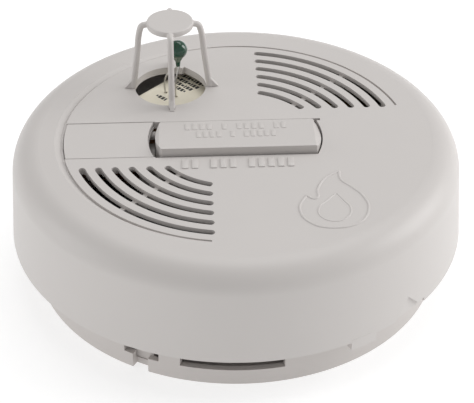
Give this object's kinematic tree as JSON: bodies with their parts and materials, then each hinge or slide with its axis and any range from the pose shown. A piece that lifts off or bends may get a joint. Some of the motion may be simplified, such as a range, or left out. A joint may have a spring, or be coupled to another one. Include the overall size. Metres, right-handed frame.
{
  "type": "heat alarm",
  "caption": "Round ceiling heat alarm with a guarded thermistor, curved sound slots, a rocking test button and a head that slides off its mounting base.",
  "frame": {"origin": "centre of the mounting base's back face, which lies against the ceiling", "axes": "+Z from the ceiling towards the room, through the middle of the cover; -Y towards the long edge of the test button that stands proud; -X towards the blanking strip"},
  "size_m": [0.151, 0.151, 0.0745],
  "materials": {
    "white_moulding": "satin off-white moulding",
    "base_moulding": "satin off-white moulding, slightly greyer",
    "cream_board": "cream laminate with dark legend marks",
    "brown_board": "brown paper laminate",
    "black_plastic": "black moulding",
    "grey_plastic": "grey moulding",
    "rubber": "matt black rubber",
    "green_epoxy": "glossy dipped green epoxy",
    "tinned_wire": "tinned copper wire",
    "steel": "zinc-plated steel",
    "brass": "bare brass",
    "ceramic": "white ceramic",
    "red_lens": "translucent red lens",
    "yellow_film": "yellow epoxy-filled case",
    "blue_sleeve": "blue shrink sleeve",
    "copper_wire": "enamelled copper winding",
    "battery_case": "printed battery jacket"
  },
  "bodies": {
    "base": {"mounting_base": "base_moulding", "cable_entry_seal": "rubber", "terminal_block": "white_moulding", "terminal_screw_1": "steel", "terminal_screw_2": "steel", "terminal_screw_3": "steel"},
    "head": {"cover": "white_moulding", "blanking_strip": "white_moulding", "sensor_cage": "white_moulding", "head_connector": "white_moulding", "rear_housing": "base_moulding", "sensor_board": "cream_board", "circuit_board": "brown_board", "board_header": "black_plastic", "alarm_chip": "black_plastic", "sounder_chamber": "black_plastic", "battery_snap": "black_plastic", "tact_switch": "grey_plastic", "thermistor_bead": "green_epoxy", "thermistor_lead_1": "tinned_wire", "thermistor_lead_2": "tinned_wire", "board_screw_1": "steel", "board_screw_2": "steel", "board_screw_3": "steel", "housing_screw_1": "steel", "housing_screw_2": "steel", "housing_screw_3": "steel", "housing_screw_4": "steel", "button_spring": "steel", "contact_pin_1": "brass", "contact_pin_2": "brass", "contact_pin_3": "brass", "piezo_disc": "brass", "piezo_ceramic": "ceramic", "dropper_resistor": "ceramic", "indicator_led": "red_lens", "mains_capacitor": "yellow_film", "reservoir_capacitor": "blue_sleeve", "sounder_inductor": "copper_wire", "battery": "battery_case"},
    "test_button": {"test_button": "white_moulding", "switch_plunger": "grey_plastic"}
  },
  "joints": [
    {"name": "head_slide", "type": "slide", "parent": "base", "child": "head", "axis": [0.7071, -0.7071, 0], "range_m": [0, 0.012]},
    {"name": "button_press", "type": "hinge", "parent": "head", "child": "test_button", "pos_m": [0, 0.0085, 0.044], "axis": [1, 0, 0], "range_deg": [0, 6], "stiffness_Nm_per_rad": 0.5, "springref_deg": -1.72, "deforming": ["button_spring"]}
  ]
}
